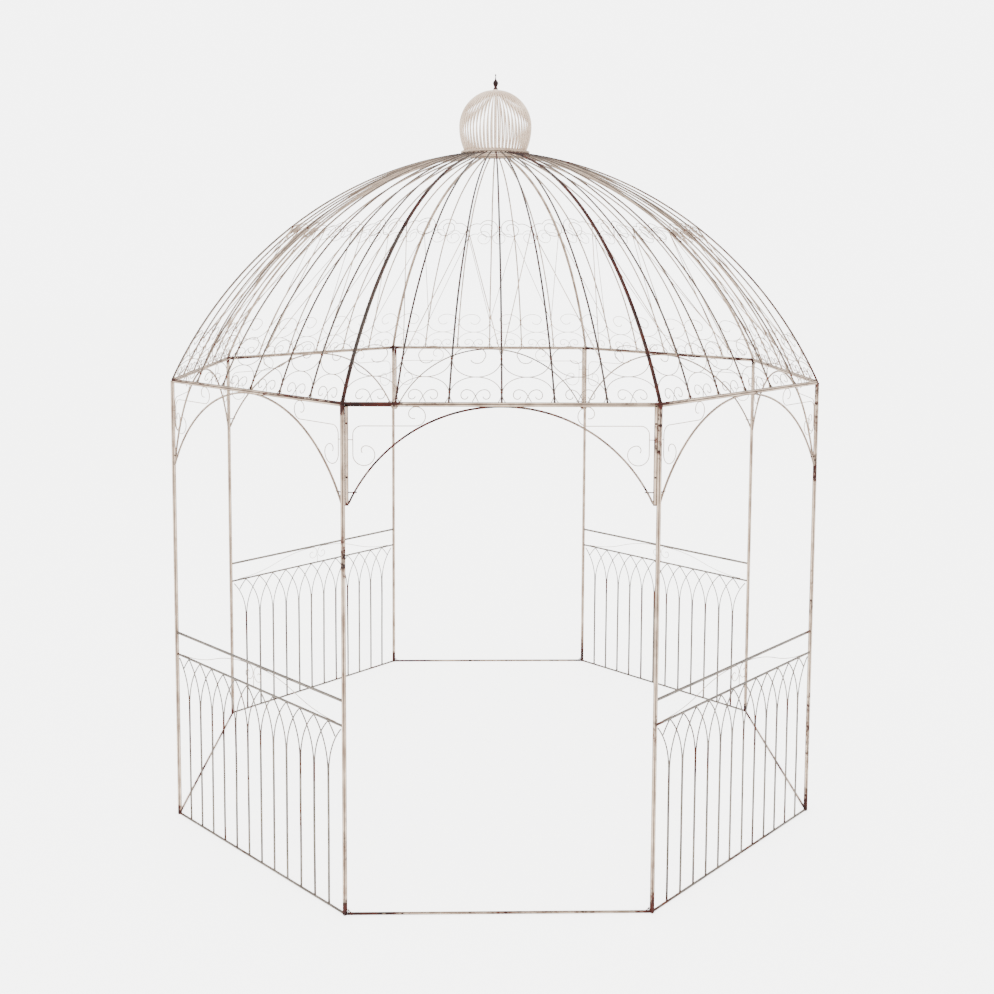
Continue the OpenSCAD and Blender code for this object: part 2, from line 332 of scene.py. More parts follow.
# Scroll wire: dull beige with little contrast and few rusted spots
wireLook = {
    "paint": "#A8927F", "greyed": "#806E5F", "dirtAndShadeDark": "#3A2E27", "dirtAndShadeLight": "#57473C",
    "rustDark": "#2E120A", "rustLight": "#5A3222",
    "patchy": 0.6, "flaky": 0.4, "ageGain": 0.6, "wearFrom": 0.86, "wearSoft": 0.12,
}
# Onion ball: the palest and soundest paint
ballLook = {
    "paint": "#DDC9B5", "greyed": "#BFA995", "dirtAndShadeDark": "#5C4A3D", "dirtAndShadeLight": "#887362",
    "rustDark": "#402214", "rustLight": "#6A4432",
    "patchy": 0.6, "flaky": 0.4, "ageGain": 0.6, "wearFrom": 0.9, "wearSoft": 0.12,
}
# Finial: bare iron, dark red-brown to almost black
finialLook = {
    "paint": "#2C0F0C", "greyed": "#1E0806", "dirtAndShadeDark": "#100202", "dirtAndShadeLight": "#220605",
    "rustDark": "#140102", "rustLight": "#2C0605",
    "patchy": 0.6, "flaky": 0.4, "ageGain": 0.8, "wearFrom": 0.7, "wearSoft": 0.2,
}
creamPaint = ironPaint("agedCreamPaint", creamLook)
railingPaint = ironPaint("wornGreyCreamPaint", railingLook)
ribPaint = ironPaint("weatheredRibPaint", ribLook)
wirePaint = ironPaint("creamWirePaint", wireLook)
ballPaint = ironPaint("creamBallPaint", ballLook)
finialRust = ironPaint("darkRustedIron", finialLook)


def makePiece(name, parts, materials, slotName, *nodes):
    # Joins the parts into one mesh. A part may name its material by number.
    verts = np.concatenate([p["verts"] for p in parts])
    rust = np.concatenate([p["rust"] for p in parts])
    grimeAndShade = np.concatenate([p["grimeAndShade"] for p in parts])
    corners, totals, smooth, slots = [], [], [], []
    offset = 0
    for p in parts:
        for faces, isSmooth in p["faces"]:
            corners.append((faces + offset).ravel())
            totals.append(np.full(len(faces), faces.shape[1]))
            smooth.append(np.full(len(faces), isSmooth))
            slots.append(np.full(len(faces), p.get("slot", 0)))
        offset += len(p["verts"])
    corners, totals = np.concatenate(corners), np.concatenate(totals)
    mesh = bpy.data.meshes.new(name)
    mesh.vertices.add(len(verts))
    mesh.vertices.foreach_set("co", verts.astype(np.float32).ravel())
    mesh.loops.add(len(corners))
    mesh.loops.foreach_set("vertex_index", corners.astype(np.int32))
    mesh.polygons.add(len(totals))
    starts = np.concatenate([[0], np.cumsum(totals)[:-1]])
    mesh.polygons.foreach_set("loop_start", starts.astype(np.int32))
    mesh.polygons.foreach_set("loop_total", totals.astype(np.int32))
    for m in materials:
        mesh.materials.append(m)
    mesh.update(calc_edges=True)
    mesh.polygons.foreach_set("use_smooth", np.concatenate(smooth))
    mesh.polygons.foreach_set("material_index", np.concatenate(slots).astype(np.int32))
    for attribute, values in (("rust", rust), ("grimeAndShade", grimeAndShade)):
        layer = mesh.attributes.new(attribute, "FLOAT", "POINT")
        layer.data.foreach_set("value", values.astype(np.float32))
    mesh.validate()
    piece = bpy.data.objects.new(name, mesh)
    bpy.context.scene.collection.objects.link(piece)
    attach(piece, "root")
    if nodes:
        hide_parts(*nodes)
    return piece


def inSlot(parts, slotNumber):
    for p in parts:
        p["slot"] = slotNumber
    return parts


def alongSide(side, points, profile, smooth=True, rust=0.0, thick=1.0, wobble=0.0, seed=0, grimeAndShade=0.0):
    # A bar whose path is given on a side; its profile's y points outwards
    row = onSide(np.asarray(points, float), side)
    if wobble:
        row = waver(row, wobble, seed)
    a = math.radians(45 * side)
    return sweep(row, np.array([math.sin(a), -math.cos(a), 0.0]), profile, smooth, rust, thick, grimeAndShade)


def straight(start, end, spacing=0.05):
    start, end = np.asarray(start, float), np.asarray(end, float)
    steps = max(1, int(round(np.linalg.norm(end - start) / spacing)))
    return start + np.linspace(0, 1, steps + 1)[:, None] * (end - start)


def nearEnds(points, reach=0.05):
    # 1 at both ends of a path, falling to 0 over the reach
    run = np.concatenate([[0], np.cumsum(np.linalg.norm(np.diff(points, axis=0), axis=1))])
    return np.clip(1 - np.minimum(run, run[-1] - run) / reach, 0, 1)


# Posts: square bars, each set square to the railing it carries. Rust gathers at the foot and under
# the eaves, falls off over a reach, and is worse at some corners.
post = {
    "width": 2 * (faceHalf - railedHalf - seatGap), "bevel": 0.0016, "footRust": 0.75, "footReach": 0.07,
    "headRust": 0.45, "headReach": 0.05, "patches": 0.16, "cornerRust": {0: 0.12, 1: 0.05, 2: 0.22},
}


def postPiece(corner):
    railed = 2 * math.floor(corner / 2 + 0.5) - 1
    end = 1 if corner % 2 == 0 else -1
    points = straight((end * faceHalf, 0, 0), (end * faceHalf, 0, wallTop), barStep)
    z = points[:, 2]
    rust = post["footRust"] * np.exp(-z / post["footReach"])
    rust += post["headRust"] * np.exp(-(wallTop - z) / post["headReach"])
    rust += post["patches"] * np.sin(z * 5 + corner) ** 2
    rust += post["cornerRust"].get(corner, 0.0)
    profile = barProfile(post["width"], post["width"], post["bevel"])
    body = alongSide(railed, points, profile, False, rust)
    return makePiece("post_" + cornerNames[corner] + "_iron", [body], [creamPaint], "frame_paint",
                     "post_" + cornerNames[corner])


for corner in range(8):
    postPiece(corner)
print("posts done")

# Bars on the ground across the open sides, with an upright tab and its brace at each end
groundBar = {
    "height": 0.010, "bevel": 0.0012, "tab": 0.0042, "tabIn": 0.0022, "tabWidth": 0.9, "tabBevel": 0.0008,
    "step": 0.006, "brace": 0.004, "braceFoot": 0.011, "braceHead": 0.001, "braceDrop": 0.003,
}


def groundPiece(side):
    tabTop = spanOf("ground_bar_" + sideNames[side])[1][2]
    height, step = groundBar["height"], groundBar["step"]
    points = straight((-openHalf, 0, height / 2), (openHalf, 0, height / 2), barStep)
    rust = 0.35 + 0.35 * nearEnds(points, 0.12) + 0.12 * np.sin(points[:, 0] * 9 + side)
    profile = barProfile(height, panelDepth, groundBar["bevel"])
    parts = [alongSide(side, points, profile, False, rust, grimeAndShade=0.3)]
    tabProfile = barProfile(groundBar["tab"], panelDepth * groundBar["tabWidth"], groundBar["tabBevel"])
    for way in (-1, 1):
        x = way * (openHalf - groundBar["tabIn"])
        tab = straight((x, 0, sink), (x, 0, tabTop), step)
        narrowing = np.linspace(1, 0.75, len(tab))
        parts.append(alongSide(side, tab, tabProfile, False, 0.7, narrowing))
        brace = straight(
            (x - way * groundBar["braceFoot"], 0, height),
            (x - way * groundBar["braceHead"], 0, tabTop - groundBar["braceDrop"]), step,
        )
        parts.append(alongSide(side, brace, circleProfile(groundBar["brace"] / 2, 8), True, 0.8))
    return makePiece("ground_bar_" + sideNames[side] + "_iron", parts, [creamPaint], "frame_paint",
                     "ground_bar_" + sideNames[side])


for side in (0, 2, 4, 6):
    groundPiece(side)

# Railings: twelve pickets, each a pair of rods that part and bow over to the peaks above their neighbours
railing = {
    "pickets": 12, "rod": 0.0058, "railH": 0.009, "handrailH": 0.011, "bevel": 0.0013,
    "below": 0.105, "spring": 0.573, "wire": 0.0032, "wobble": 0.0008, "seed": 7,
    "bead": 0.62,
}


def railingPiece(side):
    top = railingHigh[2]
    railTop = top - railing["below"]
    w, railH, rod, spring = railedHalf, railing["railH"], railing["rod"], railing["spring"]
    bay = 2 * w / (railing["pickets"] + 1)
    rise = railTop - railH + sink - spring
    reach = bay - rod / 2
    bowR = bowRadius(rise, reach)
    bowEnd = 180 - math.degrees(math.asin(rise / bowR))
    bow = arcPoints((bowR, 0), bowR, 180, bowEnd, 24) + [rod / 2, spring]
    crossing = np.interp(bay / 2, bow[:, 0], bow[:, 1])
    profile = circleProfile(rod / 2, 8)
    rng = np.random.default_rng(railing["seed"] + side)
    parts = []

    def rail(z, height, rust):
        points = straight((-w, 0, z), (w, 0, z), barStep)
        age = rust + 0.3 * nearEnds(points, 0.04) + 0.14 * np.sin(points[:, 0] * 8 + side + z * 9)
        section = barProfile(height, panelDepth, railing["bevel"])
        parts.append(alongSide(side, points, section, False, age, grimeAndShade=0.1))

    def addRod(points, rust, grimeAndShade, seed):
        line, wobble = flat(points), railing["wobble"]
        parts.append(alongSide(side, line, profile, True, rust, 1.0, wobble, seed, grimeAndShade))

    rail(railH / 2, railH, 0.25)
    rail(railTop - railH / 2, railH, 0.12)
    rail(top - railing["handrailH"] / 2, railing["handrailH"], 0.05)
    for k in range(1, railing["pickets"] + 1):
        x = -w + k * bay
        bare, soiled = rng.uniform(-0.05, 0.3), rng.uniform(0.0, 0.35)
        for way in (-1, 1):
            stem = straight((x + way * rod / 2, railH / 2), (x + way * rod / 2, spring), 0.04)
            line = np.concatenate([stem, bow[2::2] * [way, 1] + [x, 0]])
            line = line[np.abs(line[:, 0]) < w]
            # Most rust is at the foot and just below the place where the two rods part
            z = line[:, 1]
            rust = bare + 0.22 * np.exp(-z / 0.05) + 0.12 * np.sin(z * 14 + k * 1.7)
            rust += 0.34 * np.exp(-((z - spring + 0.03) / 0.06) ** 2)
            addRod(line, rust, soiled, side * 40 + k)
        if k < railing["pickets"]:
            weld = onSide(np.array([[x + bay / 2, 0, crossing]]), side)[0]
            parts.append(bead(weld, rod * railing["bead"], 0.55))
    # In each end bay a short stub runs from the first peak down to the outermost rod
    stub = bow[bow[:, 1] > crossing]
    for way in (-1, 1):
        addRod((stub - [w, 0]) * [-way, 1], 0.15, 0.2, side + 90)
    parts += inSlot(ornament(side, railTop, top - railing["handrailH"]), 1)
    return makePiece("railing_" + sideNames[side] + "_iron", parts, [railingPaint, wirePaint],
                     "railing_paint", "railing_" + sideNames[side])


def ornament(side, low, high):
    # Between the picket rail and the handrail: two curls back to back and a long tail to each end
    gap = high - low
    wire = railing["wire"]
    turn = circleProfile(wire / 2, 6)
    curl = gap * 0.36
    tailRun = railedHalf * 0.92 - curl
    half = 2 * math.degrees(math.atan((gap - wire) / tailRun))
    tailR = tailRun / 2 / math.sin(math.radians(half))
    start = (curl + wire, high - wire / 2)
    parts = []
    for way in (1, -1):
        curls = [[curl, 150], [curl * 0.75, 100], [curl * 0.5, 100], [curl * 0.3, 90]]
        head = trail(start, 180, curls, 0.004)
        tail = trail(start, 0, [[tailR, -half], [tailR, half]], 0.03)
        for line in (head, tail):
            line = line if way == 1 else mirrored(line)
            parts.append(alongSide(side, flat(line), turn, True, 0.1, wobble=0.0005, seed=side + 11))
    stem = straight((0, low), (0, low + gap * 0.45), 0.02)
    parts.append(alongSide(side, flat(stem), turn, True, 0.2))
    return parts


for side in (1, 3, 5, 7):
    railingPiece(side)
print("railings done")

# Arches. The scroll's long run is a number of upper curls; bolts are depths under the eaves.
arch = {
    "bar": 0.008, "spring": 1.700, "stile": 0.013, "railH": 0.009, "bevel": 0.0013, "scroll": 0.0036,
    "upperCurl": 0.038, "lowerCurl": 0.043, "bend": 0.035, "along": 0.018, "run": 5.6, "fall": 0.080,
    "tieDrop": 0.02, "bolts": (0.075, 0.29), "boltR": 0.0042,
    "spacer": 0.005, "spacerUp": 0.045, "spacerRun": 0.034,
}
# Rust by side: the front arch is the most rusted
archAge = {0: 0.62, 1: 0.16, 2: 0.2, 3: 0.3, 4: 0.42, 5: 0.25, 6: 0.2, 7: 0.2}


def spandrelScroll(side, half):
    # An S-scroll in each upper corner, from the curl under the rail to the curl on the arch
    drop = 2 * arch["upperCurl"]
    corner = np.array([-half, wallTop - arch["railH"]])
    start = (arch["along"], -drop - arch["bend"])
    up = trail(start, 90, [
        [arch["bend"], -90], [arch["run"] * arch["upperCurl"], 0], [arch["upperCurl"], 180],
        [arch["upperCurl"] * 0.74, 90], [arch["upperCurl"] * 0.5, 110],
    ])
    down = trail(start, 270, [
        [arch["fall"], 0], [arch["lowerCurl"], 180],
        [arch["lowerCurl"] * 0.84, 90], [arch["lowerCurl"] * 0.4, 130],
    ])
    line = np.concatenate([down[::-1], up[1:]]) + corner
    turn = circleProfile(arch["scroll"] / 2, 6)
    tieUp = -drop - arch["bend"] - arch["tieDrop"]
    tie = straight(corner + [0, tieUp], corner + [arch["along"], tieUp], 0.01)
    parts = []
    for way in (1, -1):
        for points in (line, tie):
            points = points if way == 1 else mirrored(points)
            seed = side + 60 + way
            parts.append(alongSide(side, flat(points), turn, True, 0.08, wobble=0.0006, seed=seed))
    return parts


def archPiece(side):
    railed = side % 2 == 1
    w = railedHalf if railed else openHalf
    half = w if railed else w - arch["stile"]
    under = wallTop - arch["railH"]
    rise = under + sink - arch["spring"]
    r = bowRadius(half, rise)
    spread = math.degrees(math.asin(half / r))
    railUp = wallTop - arch["railH"] / 2
    rail = straight((-w, 0, railUp), (w, 0, railUp), barStep)
    age = 0.14 + 0.4 * nearEnds(rail, 0.03) + 0.16 * np.sin(rail[:, 0] * 6 + side)
    # The front rail is bare at its left end, the back right one in short stretches
    if side == 0:
        age += np.where(rail[:, 0] < -0.36, 0.5, 0.0)
    if side == 3:
        age += 0.35 * (np.sin(rail[:, 0] * 24) > -0.2)
    parts = [alongSide(side, rail, barProfile(arch["railH"], panelDepth, arch["bevel"]), False, age)]
    bow = flat(arcPoints((0, under + sink - r), r, 90 + spread, 90 - spread, 56))
    bowAge = archAge[side] - 0.25 * np.clip(bow[:, 0] / half, -0.2, 1) + 0.1 * np.sin(bow[:, 0] * 15)
    parts.append(alongSide(side, bow, barProfile(arch["bar"], panelDepth, arch["bevel"]), False, bowAge,
                           wobble=0.0008, seed=side + 20, grimeAndShade=0.45 if side in (0, 4) else 0.25))
    parts += inSlot(spandrelScroll(side, half), 1)
    if not railed:
        for way in (-1, 1):
            x = way * (w - arch["stile"] / 2)
            stile = straight((x, 0, arch["spring"] - arch["bar"]), (x, 0, wallTop), barStep)
            stileAge = 0.15 + 0.4 * nearEnds(stile, 0.05) + 0.12 * np.sin(stile[:, 2] * 20 + side)
            profile = barProfile(arch["stile"], panelDepth, arch["bevel"])
            parts.append(alongSide(side, stile, profile, False, stileAge))
            for drop in arch["bolts"]:
                head = onSide(np.array([[x, panelDepth / 2, wallTop - drop]]), side)[0]
                parts.append(bead(head, arch["boltR"], 0.95))
    for way in (-1, 1):
        # A short spacer between the foot of the bow and the upright
        z = arch["spring"] + arch["spacerUp"]
        foot = half - arch["spacerRun"]
        spacer = straight((way * half, 0, z), (way * foot, 0, z), 0.01)
        parts.append(alongSide(side, spacer, circleProfile(arch["spacer"] / 2, 6), True, 0.7))
    return makePiece("arch_" + sideNames[side] + "_iron", parts, [creamPaint, wirePaint], "frame_paint",
                     "arch_" + sideNames[side])


for side in range(8):
    archPiece(side)
print("arches done")

# Dome. The collar's span is degrees either way from a side's middle, just short of its neighbour's.
dome = {
    "bays": 6, "rib": 0.0084, "bulge": 0.125, "foot": 0.009, "bevel": 0.0013, "neckR": 0.170,
    "collar": 0.012, "collarW": 0.014, "collarBevel": 0.001, "collarSpan": 22.45, "collarSteps": 13,
    "lowerWire": 0.0036, "upperWire": 0.0032, "zigzag": 0.0042, "stand": 0.005, "ribSteps": 49,
    "seed": 300,
}
ribFoot = footBase + dome["foot"] / 2
ribHead = footHigh[2] - dome["collar"] / 2


def ribPoints(footRadius, share):
    # The arc from (footRadius, ribFoot) to (neckR, ribHead) whose bulge is a fixed share of its chord.
    # Both arguments are arrays, and share runs from 0 at the foot to 1 at the neck.
    # Gives the radius and height, then the outward direction as its share out and up.
    dr, dz = dome["neckR"] - footRadius, ribHead - ribFoot
    chord = np.hypot(dr, dz)
    r = chord * (1 / (8 * dome["bulge"]) + dome["bulge"] / 2)
    sag = dome["bulge"] * chord
    cr = (footRadius + dome["neckR"]) / 2 - dz / chord * (r - sag)
    cz = (ribFoot + ribHead) / 2 + dr / chord * (r - sag)
    a0 = np.arctan2(ribFoot - cz, footRadius - cr)
    a1 = np.arctan2(ribHead - cz, dome["neckR"] - cr)
    a = a0 + share * (a1 - a0)
    return cr + r * np.cos(a), cz + r * np.sin(a), np.cos(a), np.sin(a)


def bearing(side, along):
    # Angle from a side's middle to a place on it, then the same angle in the row frame
    turn = np.arctan((2 * along / dome["bays"] - 1) * math.tan(math.pi / 8))
    return turn, turn + math.radians(45 * side - 90)


def domePoints(side, along, share):
    # A place on the dome: along counts bays from a side's left corner, share climbs from foot to neck.
    # Gives the points and the outward direction at each.
    along, share = np.broadcast_arrays(np.asarray(along, float), np.asarray(share, float))
    turn, a = bearing(side, along)
    radius, height, out, up = ribPoints(faceR / np.cos(turn), share)
    return (
        np.stack([radius * np.cos(a), radius * np.sin(a), height], -1),
        np.stack([out * np.cos(a), out * np.sin(a), up], -1),
    )


def domeLength():
    # Length of the middle rib, foot to neck
    points, _ = domePoints(0, 3.0, np.linspace(0, 1, 60))
    return np.linalg.norm(np.diff(points, axis=0), axis=1).sum()


ribLength = domeLength()


def bayWidth(share):
    ends, _ = domePoints(0, np.array([2.5, 3.5]), share)
    return np.linalg.norm(ends[1] - ends[0])


def onBay(side, bay, line, share, width, flip=False):
    # A flat drawing (across the bay, up the rib) in metres laid on the dome at a height share
    across = line[:, 0] / width
    across = 1 - across if flip else across
    return domePoints(side, bay + across, share + line[:, 1] / ribLength)


def domeWire(side, bay, line, share, width, diameter, flip=False, rust=0.1, sides=6, stand=0.0):
    points, outward = onBay(side, bay, np.asarray(line, float), share, width, flip)
    points = points - outward * stand
    wire = sweep(points, outward, circleProfile(diameter / 2, sides), True, rust)
    # The outer face is darker: dirt and painted shade
    return weatheredAndShaded(wire, points, outward, 0.06, 0.42)


def weatheredAndShaded(part, points, outward, low, gain):
    # Dirt and painted shade rise from low by gain between the faces turned in and those turned out
    sides = len(part["verts"]) // len(points)
    normal = unit(part["verts"] - np.repeat(points, sides, axis=0))
    facing = np.clip((normal * np.repeat(outward, sides, axis=0)).sum(1) * 1.6 + 0.35, 0, 1)
    part["grimeAndShade"] = low + gain * facing
    # The outer faces also get more rust, partly real rust and partly painted shade
    part["rust"] = part["rust"] + 0.2 * facing - 0.08
    return part


def ribPart(side, along, shift, seed):
    # One rib, moved sideways by the shift. It has rusted most at its two ends.
    share = np.linspace(0, 1, dome["ribSteps"])
    points, outward = domePoints(side, along, share)
    _, a = bearing(side, along)
    sideways = np.array([-math.sin(a), math.cos(a), 0.0])
    points = points + sideways * shift
    rng = np.random.default_rng(seed)
    slowWave = np.sin(share * rng.uniform(4, 9) + rng.uniform(0, 6))
    ageAlong = 0.10 + 0.12 * slowWave + rng.uniform(-0.08, 0.12)
    ageAlong += 0.3 * np.exp(-(1 - share) / 0.03) + 0.25 * np.exp(-share / 0.02)
    if shift == 0:
        still = np.sin(np.pi * share)[:, None]
        points = waver(points, 0.0012, seed) * still + points * (1 - still)
    part = sweep(points, outward, circleProfile(dome["rib"] / 2, 10), True, ageAlong)
    # The outer face is darker and rustier: dirt, rust and painted shade
    part = weatheredAndShaded(part, points, outward, 0.10, rng.uniform(0.78, 1.0))
    part["grimeAndShade"] += 0.5 * np.repeat(np.exp(-(1 - share) / 0.05), 10)
    return part


# Ribs that have lost nearly all their paint, by (side, rib)
barestRibs = {
    (0, 6): 0.5, (1, 0): 0.42, (0, 0): 0.25, (7, 6): 0.25, (1, 6): 0.25, (2, 0): 0.25,
    (0, 1): 0.1, (0, 3): 0.1,
}

# Heights in metres up the rib from the foot rail's middle; widths are shares of a bay
lower = {
    "hoopUp": 0.034, "hoopRise": 0.071, "hoopWidth": 0.985, "spiralFrom": 0.105, "spiralUp": 0.078,
    "spiralRise": 0.80, "widthAt": 0.08, "nodes": (0.040, 0.182), "top": 0.190,
}


def clearOfCorners(along, inset):
    return min(max(float(along), inset), dome["bays"] - inset)


def lowerBand(side):
    # Per bay: an arch on the foot rail, two crossed curls under it and a spiral above it
    share = dome["foot"] / 2 / ribLength
    width = bayWidth(share)
    spiralShare = share + lower["spiralFrom"] / ribLength
    upperW = bayWidth(spiralShare + lower["widthAt"] / ribLength)
    angle = np.radians(np.linspace(-28, 208, 40))
    hoop = np.stack([
        width / 2 + width / 2 * lower["hoopWidth"] * np.cos(angle),
        lower["hoopUp"] + lower["hoopRise"] * np.sin(angle),
    ], 1)
    bends = [[0.035, 0], [0.036, -62], [0.022, -110], [0.015, -100], [0.010, -60]]
    curl = trail((width / 2 - 0.012, 0.002), 62, bends, 0.004)
    # The spiral starts at the odd rib's node, runs under, up and over, and closes on itself
    turnA = np.linspace(180, 705, 96)
    reach = np.interp(turnA, [180, 360, 450, 540, 630, 705], [0.5, 0.49, 0.33, 0.15, 0.125, 0.12])
    radius, a = reach * upperW, np.radians(turnA)
    spiral = np.stack([
        upperW / 2 + radius * np.cos(a), lower["spiralUp"] + lower["spiralRise"] * radius * np.sin(a),
    ], 1)
    parts = []
    for bay in range(dome["bays"]):
        parts.append(domeWire(side, bay, hoop, share, width, dome["lowerWire"]))
        for flip in (False, True):
            parts.append(domeWire(side, bay, curl, share, width, dome["lowerWire"], flip))
        parts.append(domeWire(side, bay, spiral, spiralShare, upperW, dome["lowerWire"], bay % 2 == 0))
    for rib in range(1, dome["bays"]):
        for height in lower["nodes"]:
            spot, outward = domePoints(side, float(rib), share + height / ribLength)
            parts.append(bead(spot, dome["rib"] * 0.72, 0.95))
    return parts


def upperBand(side, share):
    # A running scroll: from each even rib a tail rises, crests and rolls into a loop beside the odd rib.
    # The loop is an ellipse whose reach shrinks as its angle runs round.
    width = bayWidth(share)
    turnA = np.linspace(150, -410, 84)
    reach = np.interp(-turnA, [-150, 0, 90, 180, 270, 410], [0.31, 0.285, 0.27, 0.25, 0.15, 0.09])
    a = np.radians(turnA)
    loop = width * np.stack([0.66 + reach * np.cos(a), -0.02 + 1.45 * reach * np.sin(a)], 1)
    ease = np.linspace(0, 1, 12)[:-1, None]
    tail = loop[0] * ease + np.array([[0.0, 0.10 * width]]) * np.sin(np.pi * ease)
    line = np.concatenate([tail, loop])
    parts = []
    for bay in range(dome["bays"]):
        odd = bay % 2 == 1
        parts.append(domeWire(side, bay, line, share, width, dome["upperWire"], odd, stand=dome["stand"]))
    for rib in range(0, dome["bays"] + 1):
        spot, _ = domePoints(side, clearOfCorners(rib, 0.04), share)
        parts.append(bead(spot, dome["rib"] * 0.66, 0.9))
    return parts


def zigzags(side, low, high):
    # Straight rods from the even ribs at the upper band down to the odd ribs at the lower band
    parts = []
    for rib in (1, 3, 5):
        for way in (-1, 1):
            top, outTop = domePoints(side, clearOfCorners(rib + way, 0.03), high)
            foot, outFoot = domePoints(side, float(rib), low)
            points = straight(foot - outFoot * dome["stand"], top - outTop * dome["stand"], 0.08)
            parts.append(sweep(points, outFoot, circleProfile(dome["zigzag"] / 2, 8), True, 0.18))
    return parts


def footRail(side):
    # Mitred at the corners: the ends lie on the planes between the sides
    h = dome["foot"]
    points = straight((-1, 0, footBase + h / 2), (1, 0, footBase + h / 2), 0.05)
    age = 0.16 + 0.16 * np.sin(np.linspace(0, 9, len(points)) + side) + 0.5 * nearEnds(points, 0.12)
    # The front rail is bare at its left end, the front left one all along and the back right in stretches
    if side == 0:
        age += np.where(points[:, 0] < -0.6, 0.5, 0.0)
    if side == 7:
        age += 0.25
    if side == 3:
        age += 0.4 * (np.sin(points[:, 0] * 15) > -0.2)
    profile = barProfile(h, h, dome["bevel"])
    part = sweep(points, np.array([0.0, 1.0, 0.0]), profile, False, age)
    v = part["verts"]
    v[:, 0] *= (faceR + v[:, 1]) * math.tan(math.pi / 8) - seatGap
    part["verts"] = onSide(v, side)
    return part


def collarPart(side):
    span = dome["collarSpan"]
    a = np.radians(np.linspace(-span, span, dome["collarSteps"]) + 45 * side - 90)
    outward = np.stack([np.cos(a), np.sin(a), 0 * a], 1)
    profile = barProfile(dome["collar"], dome["collarW"], dome["collarBevel"])
    return sweep(dome["neckR"] * outward + [0, 0, ribHead], outward, profile, False, 0.2, grimeAndShade=0.2)


# Places of the two bands as shares of the rib
upperShare = 0.485
lowerShare = (dome["foot"] / 2 + lower["top"]) / ribLength


def domePiece(side):
    parts = [footRail(side), collarPart(side)]
    edge = (dome["rib"] + seatGap) / 2
    for rib in range(dome["bays"] + 1):
        shift = edge if rib == 0 else -edge if rib == dome["bays"] else 0.0
        part = ribPart(side, float(rib), shift, dome["seed"] + side * 10 + rib)
        part["rust"] = part["rust"] + barestRibs.get((side, rib), 0.0)
        parts.append(part)
    parts = parts + zigzags(side, lowerShare, upperShare)
    parts += inSlot(lowerBand(side), 1)
    parts += inSlot(upperBand(side, upperShare), 1)
    return makePiece("dome_panel_" + sideNames[side] + "_iron", parts, [ribPaint, wirePaint],
                     "frame_paint", "dome_panel_" + sideNames[side])


for side in range(8):
    domePiece(side)
print("dome done")

# Neck ring, onion ball and finial
neck = {"inner": 0.147, "bevel": 0.0012}
ball = {
    "wires": 56, "wire": 0.0076, "footShare": 0.85, "belly": 0.124, "hoop": 0.006, "capR": 0.024,
    "capH": 0.012, "capHole": 0.001, "wireEnd": 0.006, "thinTo": 0.4, "thinFrom": 0.06,
}


def neckPiece():
    # A closed outline, so the ring has no caps
    low, high = neckTop, ringHigh[2]
    inner, b = neck["inner"], neck["bevel"]
    profile = [
        [inner, low + b], [inner + b, low], [ringR - b, low], [ringR, low + b], [ringR, high - b],
        [ringR - b, high], [inner + b, high], [inner, high - b], [inner, low + b],
    ]
    part = turned(profile, around=96, rust=0.1, grimeAndShade=0.2)
    part["faces"] = [(part["faces"][0][0], False)]
    return makePiece("neck_ring_iron", [part], [creamPaint], "frame_paint", "neck_ring")


def ballPiece():
    # Each wire is two arcs that meet at the belly, thinned where they crowd under the cap
    low, top = ballLow[2], ballHigh[2]
    widest = ballHigh[0] - ball["wire"] / 2
    footR = widest * ball["footShare"]
    capR, capH, belly = ball["capR"], ball["capH"], low + ball["belly"]
    below, above = ball["belly"], top - capH / 2 - belly
    lowerR, upperR = bowRadius(below, widest - footR), bowRadius(above, widest)
    lowest, highest = -math.degrees(math.asin(below / lowerR)), math.degrees(math.asin(above / upperR))
    foot = arcPoints((widest - lowerR, belly), lowerR, lowest, 0, 10)
    head = arcPoints((widest - upperR, belly), upperR, 0, highest, 26)
    line = np.concatenate([foot, head[1:]])
    line = line[line[:, 0] > ball["wireEnd"]]
    thick = np.interp(line[:, 0], [ball["wireEnd"], ball["thinFrom"]], [ball["thinTo"], 1.0])
    profile = circleProfile(ball["wire"] / 2, 8)
    parts = []
    for k in range(ball["wires"]):
        a = 2 * math.pi * k / ball["wires"]
        points = np.stack([line[:, 0] * math.cos(a), line[:, 0] * math.sin(a), line[:, 1]], 1)
        across = np.array([-math.sin(a), math.cos(a), 0.0])
        parts.append(sweep(points, across, profile, True, 0.0, thick, 0.05))
    a = np.linspace(0, 2 * np.pi, 97)
    hoopUp = np.full(len(a), low + ball["hoop"] / 2)
    hoop = np.stack([footR * np.cos(a), footR * np.sin(a), hoopUp], 1)
    parts.append(sweep(hoop, np.array([0.0, 0.0, 1.0]), circleProfile(ball["hoop"] / 2, 8), True, 0.2))
    hole = ball["capHole"]
    cap = turned([
        [hole, top - capH], [capR, top - capH], [capR * 5 / 6, top - capH / 2],
        [capR / 2, top - capH / 12], [hole, top],
    ], rust=0.35)
    parts.append(cap)
    return makePiece("onion_ball_iron", parts, [ballPaint], "frame_paint", "onion_ball")


